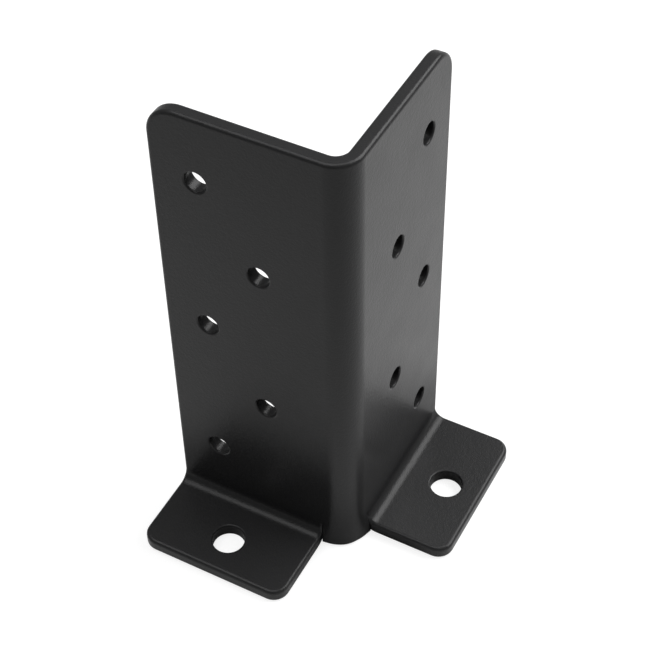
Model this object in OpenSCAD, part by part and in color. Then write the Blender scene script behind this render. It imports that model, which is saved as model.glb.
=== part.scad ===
// Corner post bracket, cut from one steel plate and folded three times.
// An upright bend joins two tall legs, and each leg ends in a foot that is folded outwards.
// The bend runs down to the ground as a tongue between the two feet.

/* [Plate] */
// Thickness of the coated steel plate
plate_t = 5.8; // [3.2:0.1:6.5]
// Rounding along all cut edges of the plate
edge_r = 1.4; // [0.3:0.1:1.5]

/* [Legs] */
// Height of the legs above the ground
height = 203; // [190:1:400]
// Width of each leg, from the sharp outer corner to its free edge
leg_w = 77.7; // [70:0.1:120]
// Radius of the rounded top corner of each leg
leg_corner_r = 12; // [3:0.5:16]
// Inner radius of the upright bend between the legs
bend_r = 5; // [2:0.1:5.5]

/* [Feet] */
// Reach of each foot beyond the outer face of its leg
foot_reach = 35.2; // [30:0.1:70]
// Distance along the leg from the sharp outer corner to the foot
foot_start = 13.3; // [13.2:0.1:20]
// Inner radius of the fold between leg and foot
fold_r = 4.5; // [2:0.5:7]
// Radius of the two outer corners of each foot
foot_corner_r = 6.5; // [2:0.5:10]
// Width of the relief slit between the foot and the tongue
slit_w = 0.2; // [0.1:0.1:1]
// Height that the relief slit runs above the fold
slit_rise = 1.5; // [0.5:0.5:5]

/* [Screw holes] */
// Diameter of the screw holes in the legs
screw_hole_d = 8.7; // [5:0.1:12]
// Height of the lowest screw hole
first_row = 35; // [28:0.5:45]
// Height from each screw hole to the next
row_pitch = 35; // [20:0.5:36]
// Number of screw holes in each leg
rows = 5; // [1:1:5]
// Distance of the outer column of holes from the sharp outer corner
outer_column = 59.5; // [45:0.5:62]
// Distance of the inner column of holes from the sharp outer corner
inner_column = 36.5; // [24:0.5:44]

/* [Bolt holes] */
// Diameter of the anchor bolt hole in each foot
bolt_hole_d = 13; // [8:0.1:16]
// Distance of the bolt hole from the outer face of its leg
bolt_reach = 20; // [18:0.5:21]
// Rounding at the rims of all holes
rim_r = 0.5; // [0.2:0.1:0.8]

/* [Hidden] */
$fn = 64;
eps = 0.5;
coat = [0.16, 0.16, 0.17];
bend_outer_r = bend_r + plate_t;
fold_outer_r = fold_r + plate_t;
fold_top = plate_t + fold_r;
slit_top = fold_top + slit_rise;
foot_middle = (foot_start + leg_w) / 2;
// The middle of the bracket's outline on the ground, which is its origin
centre = (leg_w - foot_reach) / 2;

// Rectangle from [x0, y0] to [x1, y1], with a radius for its lower left,
// lower right, upper right and upper left corner, where 0 is a sharp one
module rounded_box(x0, y0, x1, y1, r) {
    corners = [[x0, y0], [x1, y0], [x1, y1], [x0, y1]];
    inward = [[1, 1], [-1, 1], [-1, -1], [1, -1]];
    difference() {
        translate([x0, y0])
            square([x1 - x0, y1 - y0]);
        for (i = [0:3])
            if (r[i] > 0)
                translate(corners[i])
                    mirror([inward[i][0] < 0 ? 1 : 0, 0])
                        mirror([0, inward[i][1] < 0 ? 1 : 0])
                            corner_waste(r[i]);
    }
}

// What a rounded corner at the origin, in the quadrant of positive x and y, takes off
module corner_waste(r) {
    difference() {
        translate([-eps, -eps])
            square(r + eps);
        translate([r, r])
            circle(r);
    }
}

// Extrudes a profile along +X, with its own x along Y and its own y along Z
module along_x(from, to) {
    translate([from, 0, 0])
        rotate([90, 0, 90])
            linear_extrude(to - from)
                children();
}

// Quarter disc of plate about the Z axis, in the quadrant of positive x and y,
// with both rims of its round edge rounded
module corner_disc(r) {
    rotate_extrude(angle = 90)
        rounded_box(0, 0, r, plate_t, [0, edge_r, edge_r, 0]);
}

// Upright bend, with the round lower end that stands on the ground as a tongue
module bend() {
    translate([bend_outer_r, bend_outer_r, 0])
        rotate([0, 0, 180])
            rotate_extrude(angle = 90)
                rounded_box(bend_r, 0, bend_outer_r, height, [edge_r, edge_r, edge_r, edge_r]);
}

// Leg along +X with its outer face in the plane y = 0
module leg() {
    // Side of the tongue, down to the ground
    along_x(bend_outer_r, foot_start - slit_w)
        rounded_box(0, 0, plate_t, height, [edge_r, edge_r, edge_r, edge_r]);
    // Wall over the slit and the foot, up to the top edge
    along_x(foot_start - slit_w, leg_w - leg_corner_r)
        rounded_box(0, slit_top, plate_t, height, [0, 0, edge_r, edge_r]);
    // Wall along the free edge
    translate([0, 0, slit_top])
        linear_extrude(height - leg_corner_r - slit_top)
            rounded_box(leg_w - leg_corner_r, 0, leg_w, plate_t, [0, edge_r, edge_r, 0]);
    // Top corner
    translate([leg_w - leg_corner_r, plate_t, height - leg_corner_r])
        rotate([90, 0, 0])
            corner_disc(leg_corner_r);
    // Wall beside the slit, down to the fold
    translate([0, 0, fold_top])
        linear_extrude(slit_rise)
            rounded_box(foot_start, 0, leg_w, plate_t, [edge_r, edge_r, edge_r, edge_r]);
}

// Foot under the leg along +X, folded towards -Y, with its underside on the ground
module foot() {
    // Fold
    translate([0, -fold_r, fold_top])
        rotate([90, 0, 90])
            rotate([0, 0, -90])
                rotate_extrude(angle = 90)
                    rounded_box(fold_r, foot_start, fold_outer_r, leg_w, [edge_r, edge_r, edge_r, edge_r]);
    // Flat part
    translate([0, -fold_r, 0])
        rotate([90, 0, 0])
            linear_extrude(foot_reach - foot_corner_r - fold_r)
                rounded_box(foot_start, 0, leg_w, plate_t, [edge_r, edge_r, edge_r, edge_r]);
    // Outer edge between the two corners
    along_x(foot_start + foot_corner_r, leg_w - foot_corner_r)
        rounded_box(-foot_reach, 0, -foot_reach + foot_corner_r, plate_t, [edge_r, 0, 0, edge_r]);
    // Outer corners
    for (side = [[foot_start + foot_corner_r, 180], [leg_w - foot_corner_r, 270]])
        translate([side[0], -foot_reach + foot_corner_r, 0])
            rotate([0, 0, side[1]])
                corner_disc(foot_corner_r);
}

// Shape that clears the plate round a hole, from below z = 0 to above the plate
module hole_waste(d) {
    translate([0, 0, -eps])
        cylinder(d = d + 2 * rim_r, h = plate_t + 2 * eps);
}

// Ring that lines a cleared hole down to its bore, with both rims rounded
module hole_ring(d) {
    rotate_extrude()
        rounded_box(d / 2, 0, d / 2 + rim_r, plate_t, [rim_r, 0, 0, rim_r]);
}

// Places a child at each screw hole of the leg along +X, in a zigzag of two columns
module at_screw_holes() {
    for (i = [0:rows - 1])
        translate([i % 2 == 0 ? outer_column : inner_column, plate_t, first_row + i * row_pitch])
            rotate([90, 0, 0])
                children();
}

// Places a child at the bolt hole of the foot under the leg along +X
module at_bolt_hole() {
    translate([foot_middle, -bolt_reach, 0])
        children();
}

// One leg with its foot and holes
module wing() {
    difference() {
        union() {
            leg();
            foot();
        }
        at_screw_holes()
            hole_waste(screw_hole_d);
        at_bolt_hole()
            hole_waste(bolt_hole_d);
    }
    at_screw_holes()
        hole_ring(screw_hole_d);
    at_bolt_hole()
        hole_ring(bolt_hole_d);
}

module bracket() {
    color(coat)
        translate([-centre, -centre, 0]) {
            bend();
            wing();
            mirror([1, -1, 0])
                wing();
        }
}

bracket();
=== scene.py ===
"""Folded steel bracket for the foot of a square pole, coated in satin black powder.

The bracket is one blank of steel plate. Its surface is laid out flat first, and then folded.
A place on the blank has three numbers, in millimetres:

- along: distance from the middle of the upright bend, measured on the outer face
- rise: distance above the upper end of the fold between leg and foot, negative below it
- depth: distance below the outer face, from zero to the thickness of the plate

Only the half of the blank with along >= 0 is laid out. The other half is its mirror image.
"""

import logging
import math
from dataclasses import dataclass, field
from enum import Enum

import bmesh
import bpy
import numpy as np
from mathutils import Matrix, Vector


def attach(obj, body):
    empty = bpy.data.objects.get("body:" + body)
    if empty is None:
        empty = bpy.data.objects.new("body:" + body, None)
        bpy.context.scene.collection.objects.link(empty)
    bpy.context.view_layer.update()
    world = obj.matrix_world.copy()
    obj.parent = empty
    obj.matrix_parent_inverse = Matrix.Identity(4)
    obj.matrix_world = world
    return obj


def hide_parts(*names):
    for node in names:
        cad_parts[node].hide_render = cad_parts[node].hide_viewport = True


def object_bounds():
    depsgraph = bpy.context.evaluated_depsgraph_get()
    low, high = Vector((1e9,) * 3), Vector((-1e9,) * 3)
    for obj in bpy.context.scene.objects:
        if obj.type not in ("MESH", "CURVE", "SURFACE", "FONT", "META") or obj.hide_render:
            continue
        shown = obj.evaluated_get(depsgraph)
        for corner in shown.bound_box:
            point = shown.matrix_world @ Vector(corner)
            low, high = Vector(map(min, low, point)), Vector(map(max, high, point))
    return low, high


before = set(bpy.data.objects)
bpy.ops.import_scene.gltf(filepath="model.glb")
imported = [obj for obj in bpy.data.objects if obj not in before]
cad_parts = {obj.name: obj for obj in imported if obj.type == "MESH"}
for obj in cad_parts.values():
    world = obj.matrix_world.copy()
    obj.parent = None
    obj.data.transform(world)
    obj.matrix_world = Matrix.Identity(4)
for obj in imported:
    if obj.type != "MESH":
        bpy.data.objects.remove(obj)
cad_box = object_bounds()

MM = 0.001
MERGE_DISTANCE_M = 2e-6
SHARP_ANGLE_DEG = 50
log = logging.getLogger("bracket")


class Face(Enum):
    """The two broad faces of the plate."""

    OUTER = "outer"
    INNER = "inner"


class Half(Enum):
    """The two mirrored halves of the blank, each with one leg and its foot."""

    RIGHT = 1
    LEFT = -1


def marks(start: float, *runs: tuple[float, int]) -> np.ndarray:
    """Places along a line, in runs of even steps.

    Args:
        start: The first place.
        runs: For each run, the place where it ends and its number of steps.

    Returns:
        All places in order, with the ends of the runs among them.
    """
    pieces = [np.array([start], float)]
    last = start
    for end, steps in runs:
        pieces.append(np.linspace(last, end, steps + 1)[1:])
        last = end
    return np.concatenate(pieces)


def quads(rows: int, columns: int, closed: bool = False) -> np.ndarray:
    """Corner numbers of the quads of a grid of points.

    Args:
        rows: Points in the first direction.
        columns: Points in the second direction.
        closed: Whether the first direction runs round to its start.

    Returns:
        An array of shape (faces, 4).
    """
    first = np.arange(rows if closed else rows - 1)[:, None]
    second = np.arange(columns - 1)[None, :]
    after = (first + 1) % rows
    corners = [
        first * columns + second,
        after * columns + second,
        after * columns + second + 1,
        first * columns + second + 1,
    ]
    return np.stack(np.broadcast_arrays(*corners), -1).reshape(-1, 4)


@dataclass
class Sheet:
    """A mesh that is gathered from patches of points on the blank."""

    points: list[np.ndarray] = field(default_factory=list)
    faces: list[list[int]] = field(default_factory=list)
    count: int = 0

    def grid(self, places: np.ndarray, closed: bool = False) -> None:
        """Adds a grid of quads.

        Args:
            places: Points of shape (rows, columns, 3).
            closed: Whether the rows run round to their start.
        """
        rows, columns, _ = places.shape
        self.faces += (quads(rows, columns, closed) + self.count).tolist()
        self.points.append(places.reshape(-1, 3))
        self.count += rows * columns

    def plate(self, outline: np.ndarray) -> None:
        """Adds one flat face with many corners.

        Args:
            outline: Points round the face, of shape (corners, 3).
        """
        self.faces.append(list(range(self.count, self.count + len(outline))))
        self.points.append(outline)
        self.count += len(outline)

    def all_points(self) -> np.ndarray:
        """All points of the mesh, of shape (points, 3)."""
        return np.concatenate(self.points)


@dataclass
class EdgeLine:
    """A line along the cut edge, with the unit direction into the plate at each point."""

    points: list[np.ndarray] = field(default_factory=list)
    inward: list[np.ndarray] = field(default_factory=list)

    def straight(self, places: np.ndarray, fixed: float, axis: int, sign: float) -> None:
        """Adds a straight run.

        Args:
            places: The values that vary along the run.
            fixed: The value that stays the same.
            axis: Which of the two values is fixed, 0 for along and 1 for rise.
            sign: Side of the fixed value on which the plate lies.
        """
        line = np.full((len(places), 2), fixed)
        line[:, 1 - axis] = places
        facing = np.zeros((len(places), 2))
        facing[:, axis] = sign
        self.points.append(line)
        self.inward.append(facing)

    def turn(
        self, middle: tuple[float, float], radius: float, start_deg: float, steps: int
    ) -> None:
        """Adds a rounded corner, as a clockwise quarter turn.

        Args:
            middle: Middle of the turn as (along, rise).
            radius: Radius of the corner.
            start_deg: Direction of its first point from the middle.
            steps: Steps of the turn.
        """
        angle = math.radians(start_deg) - np.linspace(0, math.pi / 2, steps + 1)
        spoke = np.stack([np.cos(angle), np.sin(angle)], -1)
        self.points.append(np.array(middle) + radius * spoke)
        self.inward.append(-spoke)


@dataclass(frozen=True)
class PlateSizes:
    """Sizes of the bracket in millimetres.

    They are those of its solid model, apart from the hole rims, which are a little rounder
    here. Distances along a leg start at the sharp corner where the outer faces of both legs
    would meet.
    """

    plate_t: float = 5.8
    edge_r: float = 1.4
    height: float = 203.0
    leg_w: float = 77.7
    leg_corner_r: float = 12.0
    bend_r: float = 5.0
    foot_reach: float = 35.2
    foot_start: float = 13.3
    fold_r: float = 4.5
    foot_corner_r: float = 6.5
    slit_w: float = 0.2
    slit_rise: float = 1.5
    screw_hole_d: float = 8.7
    first_row: float = 35.0
    row_pitch: float = 35.0
    rows: int = 5
    outer_column: float = 59.5
    inner_column: float = 36.5
    bolt_hole_d: float = 13.0
    bolt_reach: float = 20.0
    rim_r: float = 0.75

    @property
    def bend_outer_r(self) -> float:
        """Radius of the outer face in the upright bend."""
        return self.bend_r + self.plate_t

    @property
    def half_bend(self) -> float:
        """Length of half the upright bend, on the outer face."""
        return self.bend_outer_r * math.pi / 4

    @property
    def fold_top(self) -> float:
        """Height above the ground at which the leg starts to fold outwards."""
        return self.plate_t + self.fold_r

    @property
    def fold_length(self) -> float:
        """Length of the fold, on the outer face."""
        return self.fold_r * math.pi / 2

    @property
    def centre(self) -> float:
        """Distance from the sharp corner to the middle of the outline on the ground."""
        return (self.leg_w - self.foot_reach) / 2

    @property
    def slit_side(self) -> float:
        """The along value of the tongue's side at the slit."""
        return self.along(self.foot_start - self.slit_w)

    def along(self, distance: float) -> float:
        """The along value of a distance from the sharp corner, beyond the bend."""
        return self.half_bend + distance - self.bend_outer_r

    def rise(self, height: float) -> float:
        """The rise value of a height above the ground, on the leg or the tongue."""
        return height - self.fold_top

    def reach(self, distance: float) -> float:
        """The rise value of a distance from the leg's outer face, on the flat of the foot."""
        return -self.fold_length - (distance - self.fold_r)


@dataclass(frozen=True)
class TongueFlare:
    """Outward push of the tongue's side, where folding the foot has dragged it along."""

    half: Half
    push_mm: float
    start_mm: float
    power: float = 1.5

    def push(self, sizes: PlateSizes, along: np.ndarray, level: np.ndarray) -> np.ndarray:
        """How far each point of the tongue is pushed outwards.

        The push grows from zero at start_mm from the middle of the bend to push_mm at the
        slit, with a power of the way between them. It fades upwards as a smooth step, which
        is three squares less two cubes, and ends where the slit ends.

        Args:
            sizes: Sizes of the bracket.
            along: The along value of each point, negative in the left half.
            level: Height of each point above the ground.

        Returns:
            The push of each point in millimetres.
        """
        from_start = along * self.half.value - self.start_mm
        way = np.clip(from_start / (sizes.slit_side - self.start_mm), 0, 1)
        low = np.clip(1 - level / (sizes.fold_top + sizes.slit_rise), 0, 1)
        return self.push_mm * way**self.power * (3 * low**2 - 2 * low**3)


class BlankLines:
    """Lines of the grids on the blank, so that neighbouring patches share their points."""

    BEND_STEPS = 14
    FOLD_STEPS = 14
    TONGUE_STEPS = 8
    TONGUE_SIDE_STEPS = 3
    BESIDE_CELL_STEPS = 4
    BELOW_ROWS_STEPS = 3
    CORNER_RINGS = 6
    LEG_TURN_STEPS = 16
    FOOT_TURN_STEPS = 10

    def __init__(self, sizes: PlateSizes, land: float, shoulder: float, steps: int) -> None:
        """Works out all lines.

        Args:
            sizes: Sizes of the bracket.
            land: Distance from a cut edge to the flat of the faces.
            shoulder: Width of the narrow strip beside a bend or a fold.
            steps: Steps across a cell that has a hole.
        """
        rings = self.CORNER_RINGS
        column_edge = (sizes.inner_column + sizes.outer_column) / 2
        self.corner_along = sizes.along(sizes.leg_w - sizes.leg_corner_r)
        self.corner_rise = sizes.rise(sizes.height - sizes.leg_corner_r)
        self.foot_near = sizes.along(sizes.foot_start + sizes.foot_corner_r)
        self.foot_far = sizes.along(sizes.leg_w - sizes.foot_corner_r)
        self.foot_rise = sizes.reach(sizes.foot_reach - sizes.foot_corner_r)
        foot_side = sizes.along(sizes.foot_start + land)
        face_end = sizes.along(sizes.leg_w - land)
        bend_end = sizes.half_bend
        slit_end = sizes.slit_rise
        fold_end = -sizes.fold_length

        # Lines in the along direction
        beside_bend = bend_end + shoulder
        tongue_side = (sizes.slit_side, self.TONGUE_SIDE_STEPS)
        self.bend = marks(0, (bend_end, self.BEND_STEPS), (beside_bend, 1), tongue_side)
        self.over_slit = marks(sizes.slit_side, (foot_side, 1))
        cell_start = sizes.along(2 * sizes.inner_column - column_edge)
        beside_cell = (cell_start, self.BESIDE_CELL_STEPS)
        self.near = marks(foot_side, (self.foot_near, rings), beside_cell)
        self.inner = marks(cell_start, (sizes.along(column_edge), steps))
        self.outer = marks(sizes.along(column_edge), (self.corner_along, steps))
        self.far = marks(self.corner_along, (self.foot_far, rings), (face_end, rings))
        cells = [self.inner[1:], self.outer[1:]]
        self.foot_width = np.concatenate([self.near, *cells, self.far[1:]])
        self.whole_width = np.concatenate([self.over_slit, self.foot_width[1:]])
        self.between_corners = self.foot_width[rings:-rings]
        self.before_corner = self.whole_width[: -len(self.far) + 1]

        # Lines in the rise direction
        first_start = sizes.rise(sizes.first_row - sizes.row_pitch / 2)
        starts = [first_start + k * sizes.row_pitch for k in range(sizes.rows)]
        ends = starts[1:] + [self.corner_rise]
        self.rows = [marks(low, (high, steps)) for low, high in zip(starts, ends)]
        self.leg_radii = self.far - self.corner_along
        self.foot_radii = self.far[rings:] - self.foot_far
        self.below_rows = marks(slit_end, (starts[0], self.BELOW_ROWS_STEPS))
        self.top_band = self.corner_rise + self.leg_radii
        self.beside_slit = marks(0, (shoulder, 1), (slit_end, 1))
        self.fold = marks(fold_end, (0, self.FOLD_STEPS))
        self.fold_foot = marks(fold_end - shoulder, (fold_end, 1))
        self.foot_flat = marks(self.foot_rise, (fold_end - shoulder, steps))
        self.foot_end = (self.foot_rise - self.foot_radii)[::-1]
        self.tongue = marks(sizes.rise(land), (slit_end, self.TONGUE_STEPS))

    def leg_up(self) -> np.ndarray:
        """Lines up the whole leg, from the end of the slit to the straight end of the top."""
        return np.concatenate([self.below_rows, *[row[1:] for row in self.rows]])

    def foot_down(self) -> np.ndarray:
        """Lines from the foot's corners over the fold up to the end of the slit."""
        above = [self.fold_foot[1:], self.fold[1:], self.beside_slit[1:]]
        return np.concatenate([self.foot_flat, *above])


@dataclass
class BracketPlate:
    """The folded plate as one closed mesh.

    The wing sheet takes a leg and its foot, which are folded. The bend sheet takes the
    upright bend and the tongue below it, which run straight down. The bend heading is the
    direction of the bend's middle from the bend's axis, turned from +X towards +Y.
    """

    sizes: PlateSizes = PlateSizes()
    flares: tuple[TongueFlare, ...] = (
        TongueFlare(Half.RIGHT, 1.75, 3.3),
        TongueFlare(Half.LEFT, 0.75, 4.0),
    )
    shoulder: float = 0.25
    bend_heading_deg: float = 225
    rounding_steps: int = 6
    cell_steps: int = 16
    hole_rings: int = 4
    name: str = "folded_plate"
    wing: Sheet = field(default_factory=Sheet)
    bend: Sheet = field(default_factory=Sheet)

    def fold(self, blank: np.ndarray, folded: np.ndarray) -> np.ndarray:
        """Folds points of the flat blank to their places on the bracket.

        In the fold of the foot a point turns about the fold's axis, at the fold's radius
        plus its depth, by an angle of its distance below the fold's upper end over the fold's
        radius. Beyond a quarter turn it runs straight outwards. In the upright bend a point
        turns in the same way about the bend's upright axis, at the bend's outer radius less
        its depth. The tongue's sides are then pushed outwards by their flares.

        Args:
            blank: Points (along, rise, depth), of shape (points, 3).
            folded: For each point, whether it lies on the part that is folded to a foot.

        Returns:
            Points (x, y, z) in the bracket's frame, in metres.
        """
        sizes = self.sizes
        along, rise, depth = blank.T
        below = np.where(folded, np.maximum(-rise, 0), 0)
        turned = np.minimum(below, sizes.fold_length)
        angle = turned / sizes.fold_r
        radius = sizes.fold_r + depth
        above = np.where(folded, np.maximum(rise, 0), rise)
        level = sizes.fold_top - radius * np.sin(angle) + above
        outward = sizes.fold_r - radius * np.cos(angle) + (below - turned) * np.sin(angle)
        pushed = sum(flare.push(sizes, along, level) for flare in self.flares)
        outward = outward + np.where(folded, 0, pushed)
        bent = np.clip(along, -sizes.half_bend, sizes.half_bend)
        heading = math.radians(self.bend_heading_deg) + bent / sizes.bend_outer_r
        from_axis = sizes.bend_outer_r + outward
        middle = sizes.bend_outer_r - sizes.centre
        x = middle + from_axis * np.cos(heading) - (along - bent) * np.sin(heading)
        y = middle + from_axis * np.sin(heading) + (along - bent) * np.cos(heading)
        return np.stack([x, y, level], -1) * MM

    def depth_of(self, face: Face) -> float:
        """Depth of one of the broad faces."""
        return 0.0 if face is Face.OUTER else self.sizes.plate_t

    def rim_profile(self, radius: float) -> np.ndarray:
        """Section of a cut edge, from the outer face over its two roundings to the inner face.

        Args:
            radius: Radius of both roundings.

        Returns:
            Points (inset from the edge, depth), of shape (points, 2).
        """
        turn = np.linspace(0, math.pi / 2, self.rounding_steps + 1)
        arc = np.stack([radius * (1 - np.sin(turn)), radius * (1 - np.cos(turn))], -1)
        land = radius + self.shoulder
        upper = np.concatenate([[[land, 0]], arc, [[0, land]]])
        lower = upper[::-1] * [1, -1] + [0, self.sizes.plate_t]
        return np.concatenate([upper, lower])

    def face_grid(self, sheet: Sheet, across: np.ndarray, up: np.ndarray) -> None:
        """Adds the same flat grid to both broad faces.

        Args:
            sheet: The mesh that the grids go to.
            across: Lines in the along direction.
            up: Lines in the rise direction.
        """
        for face in Face:
            grid = np.stack(np.meshgrid(across, up, [self.depth_of(face)], indexing="ij"), -1)
            sheet.grid(grid[:, :, 0])

    def holed_cell(
        self, across: np.ndarray, up: np.ndarray, middle: tuple[float, float], bore_d: float
    ) -> None:
        """Adds a rectangular cell with a round hole in both faces, and the wall of the hole.

        Each face is a ring of grids between the hole's circle and the cell's sides: a side's
        points share out the quarter of the circle that faces it. The first quarter starts
        towards the cell's lowest corner, at 225 degrees. The wall is the rim profile carried
        round the circle.

        Args:
            across: Lines of the cell in the along direction.
            up: Lines of the cell in the rise direction.
            middle: Middle of the hole as (along, rise).
            bore_d: Diameter of the bore.
        """
        low, high = np.full_like(up, across[0]), np.full_like(up, across[-1])
        bottom, top = np.full_like(across, up[0]), np.full_like(across, up[-1])
        sides = [
            np.stack([across, bottom], -1),
            np.stack([high, up], -1),
            np.stack([across, top], -1)[::-1],
            np.stack([low, up], -1)[::-1],
        ]
        outer = np.concatenate([side[:-1] for side in sides])
        quarters = [np.linspace(0, math.pi / 2, len(side))[:-1] for side in sides]
        starts = [math.radians(225 + 90 * k) for k in range(len(sides))]
        turn = np.concatenate([start + part for start, part in zip(starts, quarters)])
        spoke = np.stack([np.cos(turn), np.sin(turn)], -1)
        profile = self.rim_profile(self.sizes.rim_r)
        circle = np.array(middle) + spoke * (bore_d / 2 + profile[0, 0])
        share = np.linspace(0, 1, self.hole_rings + 1)[None, :, None]
        ring = circle[:, None] * (1 - share) + outer[:, None] * share
        for face in Face:
            depth = np.full(ring.shape[:2] + (1,), self.depth_of(face))
            self.wing.grid(np.concatenate([ring, depth], -1), closed=True)
        wall = np.array(middle) + spoke[:, None] * (bore_d / 2 + profile[None, :, :1])
        depth = np.broadcast_to(profile[None, :, 1:], wall.shape[:2] + (1,))
        self.wing.grid(np.concatenate([wall, depth], -1), closed=True)

    def corner_fan(
        self, middle: tuple[float, float], radii: np.ndarray, start_deg: float, steps: int
    ) -> None:
        """Adds a quarter disc to both faces: radii carried round a quarter turn.

        Args:
            middle: Middle of the disc as (along, rise).
            radii: Distances of its rings from the middle, from zero up.
            start_deg: Direction of its first side, from the along direction towards rise.
            steps: Steps of the quarter turn.
        """
        turn = math.radians(start_deg) + np.linspace(0, math.pi / 2, steps + 1)[:, None]
        across = middle[0] + radii * np.cos(turn)
        up = middle[1] + radii * np.sin(turn)
        for face in Face:
            depth = np.full_like(up, self.depth_of(face))
            self.wing.grid(np.stack([across, up, depth], -1))

    def rim(self, sheet: Sheet, edge: np.ndarray, inward: np.ndarray) -> None:
        """Carries the edge profile along a line of the outline.

        Args:
            sheet: The mesh that the rim goes to.
            edge: Points (along, rise) of the line, of shape (points, 2).
            inward: For each point, the unit direction into the plate.
        """
        profile = self.rim_profile(self.sizes.edge_r)
        flat = edge[:, None] + inward[:, None] * profile[None, :, :1]
        depth = np.broadcast_to(profile[None, :, 1:], flat.shape[:2] + (1,))
        sheet.grid(np.concatenate([flat, depth], -1))

    def add_bend(self, lines: BlankLines) -> None:
        """Adds the broad faces of the bend and the tongue, and the tongue's lower edge.

        Args:
            lines: Lines of the grids on the blank.
        """
        up = np.concatenate([lines.tongue, lines.leg_up()[1:], lines.top_band[1:]])
        self.face_grid(self.bend, lines.bend, up)
        lower = np.stack([lines.bend, np.full_like(lines.bend, self.sizes.rise(0))], -1)
        self.rim(self.bend, lower, np.tile([0.0, 1.0], (len(lower), 1)))

    def add_leg(self, lines: BlankLines) -> None:
        """Adds the broad faces of the leg, with a hole in every second cell.

        Args:
            lines: Lines of the grids on the blank.
        """
        sizes = self.sizes
        self.face_grid(self.wing, lines.whole_width, lines.below_rows)
        beside = np.concatenate([lines.over_slit, lines.near[1:]])
        for k, row in enumerate(lines.rows):
            in_outer = k % 2 == 0
            holed = lines.outer if in_outer else lines.inner
            plain = lines.inner if in_outer else lines.outer
            column = sizes.outer_column if in_outer else sizes.inner_column
            height = sizes.first_row + k * sizes.row_pitch
            for across in (beside, plain, lines.far):
                self.face_grid(self.wing, across, row)
            middle = (sizes.along(column), sizes.rise(height))
            self.holed_cell(holed, row, middle, sizes.screw_hole_d)
        self.face_grid(self.wing, lines.before_corner, lines.top_band)
        corner = (lines.corner_along, lines.corner_rise)
        self.corner_fan(corner, lines.leg_radii, 0, lines.LEG_TURN_STEPS)

    def add_foot(self, lines: BlankLines) -> None:
        """Adds the broad faces of the fold and the foot, with the bolt hole.

        Args:
            lines: Lines of the grids on the blank.
        """
        sizes = self.sizes
        for up in (lines.beside_slit, lines.fold, lines.fold_foot):
            self.face_grid(self.wing, lines.foot_width, up)
        for across in (lines.near, lines.far):
            self.face_grid(self.wing, across, lines.foot_flat)
        foot_middle = (sizes.foot_start + sizes.leg_w) / 2
        middle = (sizes.along(foot_middle), sizes.reach(sizes.bolt_reach))
        across = np.concatenate([lines.inner, lines.outer[1:]])
        self.holed_cell(across, lines.foot_flat, middle, sizes.bolt_hole_d)
        self.face_grid(self.wing, lines.between_corners, lines.foot_end)
        for corner_along, start_deg in ((lines.foot_near, 180), (lines.foot_far, 270)):
            corner = (corner_along, lines.foot_rise)
            self.corner_fan(corner, lines.foot_radii, start_deg, lines.FOOT_TURN_STEPS)

    def add_cut_edge(self, lines: BlankLines) -> None:
        """Adds the rounded cut edge, from the top of the bend round leg and foot to the slit.

        Args:
            lines: Lines of the grids on the blank.
        """
        sizes = self.sizes
        edge = EdgeLine()
        foot_down = lines.foot_down()
        down = np.concatenate([foot_down, lines.leg_up()[1:]])[::-1]
        top = np.concatenate([lines.bend, lines.before_corner[1:]])
        leg_corner = (lines.corner_along, lines.corner_rise)
        far_corner = (lines.foot_far, lines.foot_rise)
        near_corner = (lines.foot_near, lines.foot_rise)
        foot_steps = lines.FOOT_TURN_STEPS
        edge.straight(top, sizes.rise(sizes.height), 1, -1)
        edge.turn(leg_corner, sizes.leg_corner_r, 90, lines.LEG_TURN_STEPS)
        edge.straight(down, sizes.along(sizes.leg_w), 0, -1)
        edge.turn(far_corner, sizes.foot_corner_r, 0, foot_steps)
        edge.straight(lines.between_corners[::-1], sizes.reach(sizes.foot_reach), 1, 1)
        edge.turn(near_corner, sizes.foot_corner_r, 270, foot_steps)
        edge.straight(foot_down, sizes.along(sizes.foot_start), 0, 1)
        self.rim(self.wing, np.concatenate(edge.points), np.concatenate(edge.inward))

    def add_slit(self, lines: BlankLines) -> None:
        """Adds the two sharp faces that close the slit: its upper end and the tongue's side.

        Args:
            lines: Lines of the grids on the blank.
        """
        sizes = self.sizes
        inset, depth = self.rim_profile(sizes.edge_r).T
        upper_end = np.full_like(inset, sizes.slit_rise)
        ceiling = np.stack([sizes.along(sizes.foot_start) + inset, upper_end, depth], -1)
        start = [sizes.slit_side, sizes.slit_rise, 0]
        finish = [sizes.slit_side, sizes.slit_rise, sizes.plate_t]
        self.wing.plate(np.concatenate([[start], ceiling, [finish]]))
        rounded = sizes.rise(0) + inset[1:-1]
        upright = np.concatenate([lines.tongue[::-1], rounded, lines.tongue])
        outer_face = np.zeros_like(lines.tongue)
        deep = np.concatenate([outer_face, depth[1:-1], outer_face + sizes.plate_t])
        side = np.full_like(upright, sizes.slit_side)
        self.bend.plate(np.stack([side, upright, deep], -1))

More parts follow.
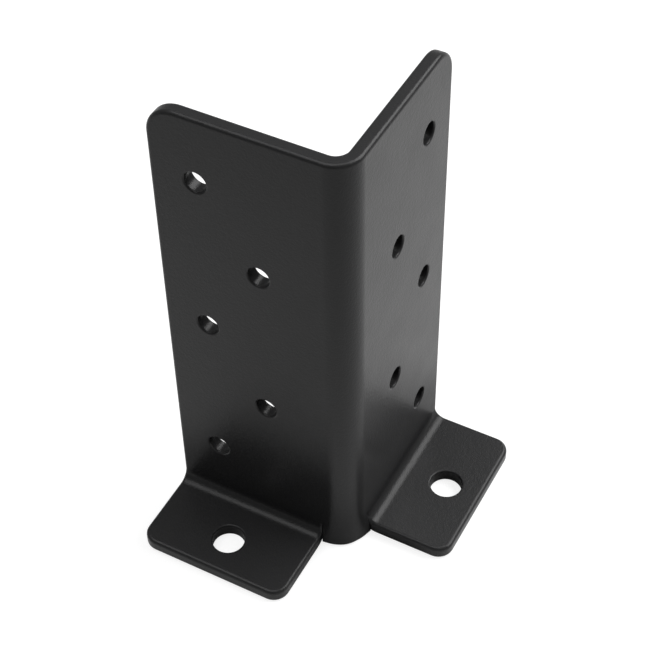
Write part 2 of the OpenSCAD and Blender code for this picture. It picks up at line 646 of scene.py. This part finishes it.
    def build(self) -> bpy.types.Object:
        """Builds both halves as one closed mesh and links it to the scene.

        Returns:
            The object of the folded plate.
        """
        land = self.sizes.edge_r + self.shoulder
        lines = BlankLines(self.sizes, land, self.shoulder, self.cell_steps)
        self.add_bend(lines)
        self.add_leg(lines)
        self.add_foot(lines)
        self.add_cut_edge(lines)
        self.add_slit(lines)
        blank = np.concatenate([self.wing.all_points(), self.bend.all_points()])
        folded = np.arange(len(blank)) < self.wing.count
        bend_faces = [[corner + self.wing.count for corner in face] for face in self.bend.faces]
        half_faces = self.wing.faces + bend_faces
        places = []
        faces = []
        for number, half in enumerate(Half):
            places.append(self.fold(blank * [half.value, 1, 1], folded))
            faces += [[corner + number * len(blank) for corner in face] for face in half_faces]
        mesh = bpy.data.meshes.new(self.name)
        mesh.from_pydata(np.concatenate(places).tolist(), [], faces)
        weld(mesh)
        piece = bpy.data.objects.new(self.name, mesh)
        bpy.context.scene.collection.objects.link(piece)
        return piece


def weld(mesh: bpy.types.Mesh) -> None:
    """Merges the patches' common points, turns all faces outwards and shades the mesh smooth.

    Args:
        mesh: The mesh of patches, which is changed in place.
    """
    work = bmesh.new()
    work.from_mesh(mesh)
    bmesh.ops.remove_doubles(work, verts=work.verts, dist=MERGE_DISTANCE_M)
    bmesh.ops.recalc_face_normals(work, faces=work.faces)
    open_edges = sum(not edge.is_manifold for edge in work.edges)
    work.to_mesh(mesh)
    work.free()
    mesh.shade_smooth()
    mesh.set_sharp_from_angle(angle=math.radians(SHARP_ANGLE_DEG))
    log.info("%s: %d faces, %d open edges", mesh.name, len(mesh.polygons), open_edges)


@dataclass(frozen=True)
class PowderCoat:
    """Satin black powder coat, with the fine orange peel that such a coat has."""

    name: str = "satin_black_powder_coat"
    colour: tuple[float, float, float] = (0.020, 0.020, 0.0205)
    roughness: float = 0.30
    gloss_change: float = 0.02
    gloss_level: float = 0.20
    gloss_patch_mm: float = 18
    gloss_patch_detail: float = 2
    gloss_noise_span: tuple[float, float] = (0.3, 0.7)
    refraction: float = 1.5
    peel_size_mm: float = 1.3
    peel_height_mm: float = 0.048
    grain_size_mm: float = 0.5
    grain_height_mm: float = 0.052
    bump_detail: float = 1

    def material(self) -> bpy.types.Material:
        """Makes the material: two sizes of noise as bump, and slow changes of gloss.

        Returns:
            The material.
        """
        made = bpy.data.materials.new(self.name)
        made.use_nodes = True
        nodes, links = made.node_tree.nodes, made.node_tree.links
        shader = nodes["Principled BSDF"]
        shader.inputs["Base Color"].default_value = (*self.colour, 1)
        shader.inputs["IOR"].default_value = self.refraction
        shader.inputs["Specular IOR Level"].default_value = self.gloss_level
        place = nodes.new("ShaderNodeTexCoord")
        patches = nodes.new("ShaderNodeTexNoise")
        patches.inputs["Scale"].default_value = 1 / (self.gloss_patch_mm * MM)
        patches.inputs["Detail"].default_value = self.gloss_patch_detail
        links.new(place.outputs["Object"], patches.inputs["Vector"])
        gloss = nodes.new("ShaderNodeMapRange")
        gloss.inputs["From Min"].default_value = self.gloss_noise_span[0]
        gloss.inputs["From Max"].default_value = self.gloss_noise_span[1]
        gloss.inputs["To Min"].default_value = self.roughness - self.gloss_change
        gloss.inputs["To Max"].default_value = self.roughness + self.gloss_change
        links.new(patches.outputs["Fac"], gloss.inputs["Value"])
        links.new(gloss.outputs["Result"], shader.inputs["Roughness"])
        peel = self.bump(made, place, self.peel_size_mm, self.peel_height_mm)
        grain = self.bump(made, place, self.grain_size_mm, self.grain_height_mm)
        links.new(peel.outputs["Normal"], grain.inputs["Normal"])
        links.new(grain.outputs["Normal"], shader.inputs["Normal"])
        return made

    def bump(
        self, made: bpy.types.Material, place: bpy.types.Node, size_mm: float, height_mm: float
    ) -> bpy.types.Node:
        """Adds one size of noise as bump.

        Args:
            made: The material that the nodes go to.
            place: The node that gives the place on the object.
            size_mm: Size of the noise's waves.
            height_mm: Height of the waves.

        Returns:
            The bump node.
        """
        nodes, links = made.node_tree.nodes, made.node_tree.links
        noise = nodes.new("ShaderNodeTexNoise")
        noise.inputs["Scale"].default_value = 1 / (size_mm * MM)
        noise.inputs["Detail"].default_value = self.bump_detail
        links.new(place.outputs["Object"], noise.inputs["Vector"])
        bump = nodes.new("ShaderNodeBump")
        bump.inputs["Distance"].default_value = height_mm * MM
        links.new(noise.outputs["Fac"], bump.inputs["Height"])
        return bump


def direction(azimuth_deg: float, elevation_deg: float) -> Vector:
    """Unit vector towards a place round the bracket.

    Args:
        azimuth_deg: Zero looks along +Y from the front, and positive is to the right.
        elevation_deg: Angle above the ground.

    Returns:
        The unit vector away from the bracket.
    """
    azimuth = math.radians(azimuth_deg)
    elevation = math.radians(elevation_deg)
    flat = math.cos(elevation)
    x = math.sin(azimuth) * flat
    y = -math.cos(azimuth) * flat
    return Vector((x, y, math.sin(elevation)))


@dataclass(frozen=True)
class PhotoCamera:
    """The camera of the product picture, from its place, direction and lens."""

    aim_mm: tuple[float, float, float] = (-11.293, -5.537, 116.934)
    azimuth_deg: float = -61.047
    elevation_deg: float = 46.596
    roll_deg: float = -1.23
    distance_mm: float = 605.35
    lens_mm: float = 93.556
    sensor_mm: float = 36.0

    def build(self) -> None:
        """Makes the camera and sets it as the scene's own."""
        back = direction(self.azimuth_deg, self.elevation_deg)
        right = direction(self.azimuth_deg + 90, 0)
        axes = Matrix((right, back.cross(right), back)).transposed()
        turned = axes @ Matrix.Rotation(math.radians(self.roll_deg), 3, "Z")
        place = Matrix.Translation((Vector(self.aim_mm) + back * self.distance_mm) * MM)
        data = bpy.data.cameras.new("product_camera")
        data.sensor_width = self.sensor_mm
        data.lens = self.lens_mm
        camera = bpy.data.objects.new("product_camera", data)
        camera.matrix_world = place @ turned.to_4x4()
        bpy.context.scene.collection.objects.link(camera)
        bpy.context.scene.camera = camera


@dataclass(frozen=True)
class SoftBox:
    """A soft rectangular lamp that faces the bracket."""

    name: str
    azimuth_deg: float
    elevation_deg: float
    distance_m: float
    width_m: float
    height_m: float
    watts: float

    def build(self, target: Vector) -> None:
        """Makes the lamp, turned towards a target point.

        Args:
            target: The point that the lamp faces.
        """
        away = direction(self.azimuth_deg, self.elevation_deg)
        data = bpy.data.lights.new(self.name, "AREA")
        data.shape = "RECTANGLE"
        data.size = self.width_m
        data.size_y = self.height_m
        data.energy = self.watts
        lamp = bpy.data.objects.new(self.name, data)
        lamp.location = target + away * self.distance_m
        lamp.rotation_mode = "QUATERNION"
        lamp.rotation_quaternion = away.to_track_quat("Z", "Y")
        bpy.context.scene.collection.objects.link(lamp)


@dataclass(frozen=True)
class Studio:
    """White studio: a pale floor, a surround and soft lamps.

    The mirrored values are what gloss on the bracket sees of the floor, and the shown ones
    are what the camera sees of it. What gloss sees has a painted shadow under the bracket,
    where its glow is zero. The ceiling's edge gives two sines of an elevation.
    """

    floor_half_m: float = 6.0
    floor_gap_m: float = 0.00005
    floor_colour: float = 0.2
    mirrored_share: float = 0.45
    mirrored_glow: float = 0.5
    glow_middle_m: tuple[float, float, float] = (0.025, 0.025, 0.0)
    # Where the mirrored glow rises from zero: the soft edge of the painted shadow under the
    # bracket.
    painted_shadow_edge_m: tuple[float, float] = (0.073, 0.087)
    glow_end_m: tuple[float, float] = (0.25, 0.8)
    shadow_share: float = 0.3
    shown_glow: float = 0.8
    surround: float = 0.12
    ceiling: float = 0.25
    ceiling_edge: tuple[float, float] = (0.0, 0.06)
    lamps: tuple[SoftBox, ...] = (
        SoftBox("key_lamp", 54, 47, 2.0, 2.0, 1.3, 50),
        SoftBox("left_lamp", -150, 74, 2.0, 1.6, 1.6, 22),
        SoftBox("top_lamp", 60, 78, 2.0, 1.0, 1.0, 3),
    )

    def glowing(
        self, tree: bpy.types.NodeTree, share: float, glow: float | bpy.types.NodeSocket
    ) -> bpy.types.Node:
        """Adds a pale surface that takes shadows and glows.

        Args:
            tree: The node tree that the nodes go to.
            share: Share of the light that the surface gives back.
            glow: Its own light, where 1 is white, or the socket that gives it.

        Returns:
            The node of the whole surface.
        """
        pale = tree.nodes.new("ShaderNodeBsdfDiffuse")
        pale.inputs["Color"].default_value = (share, share, share, 1)
        light = tree.nodes.new("ShaderNodeEmission")
        if isinstance(glow, bpy.types.NodeSocket):
            tree.links.new(glow, light.inputs["Strength"])
        else:
            light.inputs["Strength"].default_value = glow
        both = tree.nodes.new("ShaderNodeAddShader")
        tree.links.new(pale.outputs[0], both.inputs[0])
        tree.links.new(light.outputs[0], both.inputs[1])
        return both

    def glow_with_painted_shadow(self, tree: bpy.types.NodeTree) -> bpy.types.NodeSocket:
        """Adds nodes that give the mirrored glow by the distance from a point under the post.

        The glow is zero under the bracket, which is a painted shadow of the bracket in what
        gloss sees of the floor. It grows evenly to its full value just beyond the feet and the
        bend, which is the painted shadow's soft edge, and falls evenly to zero again further
        out.

        Args:
            tree: The node tree that the nodes go to.

        Returns:
            The socket with the glow's strength.
        """
        place = tree.nodes.new("ShaderNodeTexCoord")
        distance = tree.nodes.new("ShaderNodeVectorMath")
        distance.operation = "DISTANCE"
        distance.inputs[1].default_value = self.glow_middle_m
        tree.links.new(place.outputs["Object"], distance.inputs[0])
        lower = tree.nodes.new("ShaderNodeMath")
        lower.operation = "MINIMUM"
        full = self.mirrored_glow
        ramps = ((self.painted_shadow_edge_m, 0.0, full), (self.glow_end_m, full, 0.0))
        for number, (span, first, last) in enumerate(ramps):
            ramp = tree.nodes.new("ShaderNodeMapRange")
            ramp.inputs["From Min"].default_value = span[0]
            ramp.inputs["From Max"].default_value = span[1]
            ramp.inputs["To Min"].default_value = first
            ramp.inputs["To Max"].default_value = last
            tree.links.new(distance.outputs["Value"], ramp.inputs["Value"])
            tree.links.new(ramp.outputs["Result"], lower.inputs[number])
        return lower.outputs[0]

    def floor(self) -> None:
        """Makes the floor, which shows white with a faint shadow of the bracket."""
        half = self.floor_half_m
        level = -self.floor_gap_m
        square = [(-half, -half), (half, -half), (half, half), (-half, half)]
        corners = [(x, y, level) for x, y in square]
        mesh = bpy.data.meshes.new("floor")
        mesh.from_pydata(corners, [], [(0, 1, 2, 3)])
        floor = bpy.data.objects.new("floor", mesh)
        bpy.context.scene.collection.objects.link(floor)
        paint = bpy.data.materials.new("white_floor")
        paint.use_nodes = True
        tree = paint.node_tree
        nodes, links = tree.nodes, tree.links
        nodes.clear()
        output = nodes.new("ShaderNodeOutputMaterial")
        path = nodes.new("ShaderNodeLightPath")
        plain = nodes.new("ShaderNodeBsdfDiffuse")
        plain.inputs["Color"].default_value = (self.floor_colour,) * 3 + (1,)
        # Gloss sees the floor with a painted shadow: no glow under the bracket.
        mirrored = self.glowing(tree, self.mirrored_share, self.glow_with_painted_shadow(tree))
        shown = self.glowing(tree, self.shadow_share, self.shown_glow)
        in_gloss = nodes.new("ShaderNodeMixShader")
        links.new(self.seen_directly(tree), in_gloss.inputs["Fac"])
        links.new(plain.outputs[0], in_gloss.inputs[1])
        links.new(mirrored.outputs[0], in_gloss.inputs[2])
        to_camera = nodes.new("ShaderNodeMixShader")
        links.new(path.outputs["Is Camera Ray"], to_camera.inputs["Fac"])
        links.new(in_gloss.outputs[0], to_camera.inputs[1])
        links.new(shown.outputs[0], to_camera.inputs[2])
        links.new(to_camera.outputs[0], output.inputs["Surface"])
        mesh.materials.append(paint)

    def seen_directly(self, tree: bpy.types.NodeTree) -> bpy.types.NodeSocket:
        """Adds nodes that give 1 to camera, glossy and transmission rays, and 0 to all others.

        Args:
            tree: The node tree that the nodes go to.

        Returns:
            The socket with the value.
        """
        path = tree.nodes.new("ShaderNodeLightPath")
        first = tree.nodes.new("ShaderNodeMath")
        first.operation = "MAXIMUM"
        second = tree.nodes.new("ShaderNodeMath")
        second.operation = "MAXIMUM"
        tree.links.new(path.outputs["Is Camera Ray"], first.inputs[0])
        tree.links.new(path.outputs["Is Glossy Ray"], first.inputs[1])
        tree.links.new(first.outputs[0], second.inputs[0])
        tree.links.new(path.outputs["Is Transmission Ray"], second.inputs[1])
        return second.outputs[0]

    def world(self) -> None:
        """Makes the surround: white to a camera, with a dimmer ceiling in what the coat mirrors.

        The strength that glossy and transmission rays see falls evenly from 1 at the first
        sine of the ceiling's edge to the ceiling's value at the second one.
        """
        world = bpy.data.worlds.new("studio")
        world.use_nodes = True
        tree = world.node_tree
        nodes, links = tree.nodes, tree.links
        nodes.clear()
        output = nodes.new("ShaderNodeOutputWorld")
        path = nodes.new("ShaderNodeLightPath")
        toward = nodes.new("ShaderNodeTexCoord")
        split = nodes.new("ShaderNodeSeparateXYZ")
        links.new(toward.outputs["Generated"], split.inputs[0])
        ramp = nodes.new("ShaderNodeMapRange")
        ramp.inputs["From Min"].default_value = self.ceiling_edge[0]
        ramp.inputs["From Max"].default_value = self.ceiling_edge[1]
        ramp.inputs["To Min"].default_value = 1.0
        ramp.inputs["To Max"].default_value = self.ceiling
        links.new(split.outputs["Z"], ramp.inputs["Value"])
        white = nodes.new("ShaderNodeMath")
        white.operation = "MAXIMUM"
        links.new(ramp.outputs["Result"], white.inputs[0])
        links.new(path.outputs["Is Camera Ray"], white.inputs[1])
        background = nodes.new("ShaderNodeBackground")
        background.inputs["Color"].default_value = (1, 1, 1, 1)
        links.new(white.outputs[0], background.inputs["Strength"])
        soft = nodes.new("ShaderNodeBackground")
        soft.inputs["Color"].default_value = (1, 1, 1, 1)
        soft.inputs["Strength"].default_value = self.surround
        mix = nodes.new("ShaderNodeMixShader")
        links.new(self.seen_directly(tree), mix.inputs["Fac"])
        links.new(soft.outputs[0], mix.inputs[1])
        links.new(background.outputs[0], mix.inputs[2])
        links.new(mix.outputs[0], output.inputs["Surface"])
        bpy.context.scene.world = world

    def build(self, target: Vector) -> None:
        """Makes the floor, the surround and all lamps.

        Args:
            target: The point that the lamps face.
        """
        self.floor()
        self.world()
        for lamp in self.lamps:
            lamp.build(target)


def main() -> None:
    """Builds the camera, the studio and the coated plate, and reports each piece."""
    logging.basicConfig(level=logging.INFO, format="%(name)s: %(message)s")
    bpy.context.scene.view_settings.view_transform = "Standard"
    PhotoCamera().build()
    low, high = cad_box
    middle = (low + high) / 2
    Studio().build(middle)
    plate = BracketPlate().build()
    plate.data.materials.append(PowderCoat().material())
    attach(plate, "root")
    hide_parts("bracket")
    log.info("%s rides on root and stands for the node bracket", plate.name)


if __name__ == "__main__":
    main()
